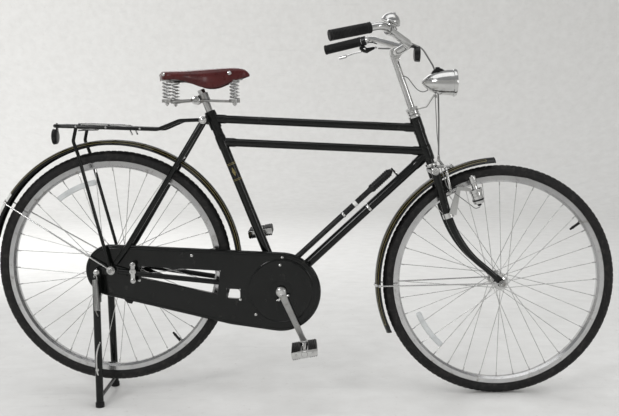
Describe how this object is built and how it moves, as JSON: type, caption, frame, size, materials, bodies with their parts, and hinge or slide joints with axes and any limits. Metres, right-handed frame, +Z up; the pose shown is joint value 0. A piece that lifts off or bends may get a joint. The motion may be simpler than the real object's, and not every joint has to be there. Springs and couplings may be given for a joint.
{
  "type": "utility bicycle",
  "caption": "Roadster bicycle with twin top tubes, full chain case, sprung leather saddle, rear rack, lamp and a two-leg rear stand; wheels, steering, cranks, pedals and stand move.",
  "frame": {"origin": "on the floor, midway between the rearmost point of the rear mudguard and the foremost point of the front tyre, in the centre plane", "axes": "+X forward, +Y to the rider's left, +Z up, standing on its rear stand with the rear tyre clear of the floor"},
  "size_m": [1.9093, 0.4748, 1.1498],
  "materials": {
    "black_enamel": "glossy stoved enamel with fine gold lining on mudguards and seat tube",
    "chrome": "bright plating, a little dulled",
    "satin_steel": "satin cast and turned metal",
    "spoke_steel": "drawn galvanised wire",
    "tyre": "black moulded rubber",
    "black_rubber": "ribbed moulded rubber",
    "black_plastic": "moulded, slightly glossy",
    "saddle_leather": "red-brown saddle leather, polished by use",
    "red_reflector": "prismatic lens in a black rim",
    "grey_cable": "grey sheathed cable"
  },
  "bodies": {
    "frame": {"head_tube": "black_enamel", "seat_tube": "black_enamel", "seat_lug": "black_enamel", "upper_top_tube": "black_enamel", "lower_top_tube": "black_enamel", "down_tube": "black_enamel", "bottom_bracket_shell": "black_enamel", "chain_stays": "black_enamel", "seat_stays": "black_enamel", "headset_cups": "chrome", "seat_bolt": "chrome", "seat_post": "chrome", "saddle_cover": "saddle_leather", "saddle_frame": "chrome", "saddle_springs": "chrome", "rear_rack": "black_enamel", "rear_reflector": "red_reflector", "rear_mudguard": "black_enamel", "rear_mudguard_stays": "chrome", "chain_case": "black_enamel", "chain_case_clip": "chrome", "pump": "black_plastic", "pump_pegs": "black_enamel", "rear_axle": "chrome", "stand_bracket": "black_enamel", "brake_arm": "black_enamel"},
    "steering": {"fork": "black_enamel", "headset_locknut": "chrome", "stem": "chrome", "handlebar": "chrome", "right_grip": "black_rubber", "left_grip": "black_rubber", "brake_lever": "black_plastic", "bell": "chrome", "front_reflector": "black_plastic", "headlamp": "chrome", "lamp_bracket": "chrome", "front_mudguard": "black_enamel", "front_mudguard_stays": "chrome", "front_brake": "chrome", "brake_cable": "grey_cable", "dynamo": "satin_steel", "dynamo_bracket": "black_enamel", "dynamo_wire": "black_plastic", "front_axle": "chrome"},
    "front_wheel": {"front_tyre": "tyre", "front_rim": "chrome", "front_hub": "chrome", "front_spokes": "spoke_steel"},
    "rear_wheel": {"rear_tyre": "tyre", "rear_rim": "chrome", "rear_hub": "chrome", "rear_spokes": "spoke_steel"},
    "crankset": {"cranks": "chrome"},
    "right_pedal_body": {"right_pedal": "chrome", "right_pedal_rubbers": "black_rubber"},
    "left_pedal_body": {"left_pedal": "chrome", "left_pedal_rubbers": "black_rubber"},
    "rear_stand": {"stand": "black_enamel"}
  },
  "joints": [
    {"name": "steering_turn", "type": "hinge", "parent": "frame", "child": "steering", "pos_m": [0.3937, 0, 0.719], "axis": [-0.3338, 0, 0.9426], "range_deg": [-70, 70]},
    {"name": "front_wheel_spin", "type": "hinge", "parent": "steering", "child": "front_wheel", "pos_m": [0.6045, 0, 0.356], "axis": [0, 1, 0], "continuous": true},
    {"name": "rear_wheel_spin", "type": "hinge", "parent": "frame", "child": "rear_wheel", "pos_m": [-0.5715, 0, 0.411], "axis": [0, 1, 0], "continuous": true},
    {"name": "crank_turn", "type": "hinge", "parent": "frame", "child": "crankset", "pos_m": [-0.0635, 0, 0.34], "axis": [0, 1, 0], "continuous": true},
    {"name": "right_pedal_spin", "type": "hinge", "parent": "crankset", "child": "right_pedal_body", "pos_m": [0.00564, -0.134, 0.18251], "axis": [0, 1, 0], "continuous": true},
    {"name": "left_pedal_spin", "type": "hinge", "parent": "crankset", "child": "left_pedal_body", "pos_m": [-0.13264, 0.134, 0.49749], "axis": [0, 1, 0], "continuous": true},
    {"name": "stand_fold", "type": "hinge", "parent": "frame", "child": "rear_stand", "pos_m": [-0.6135, 0, 0.407], "axis": [0, 1, 0], "range_deg": [0, 95]}
  ]
}
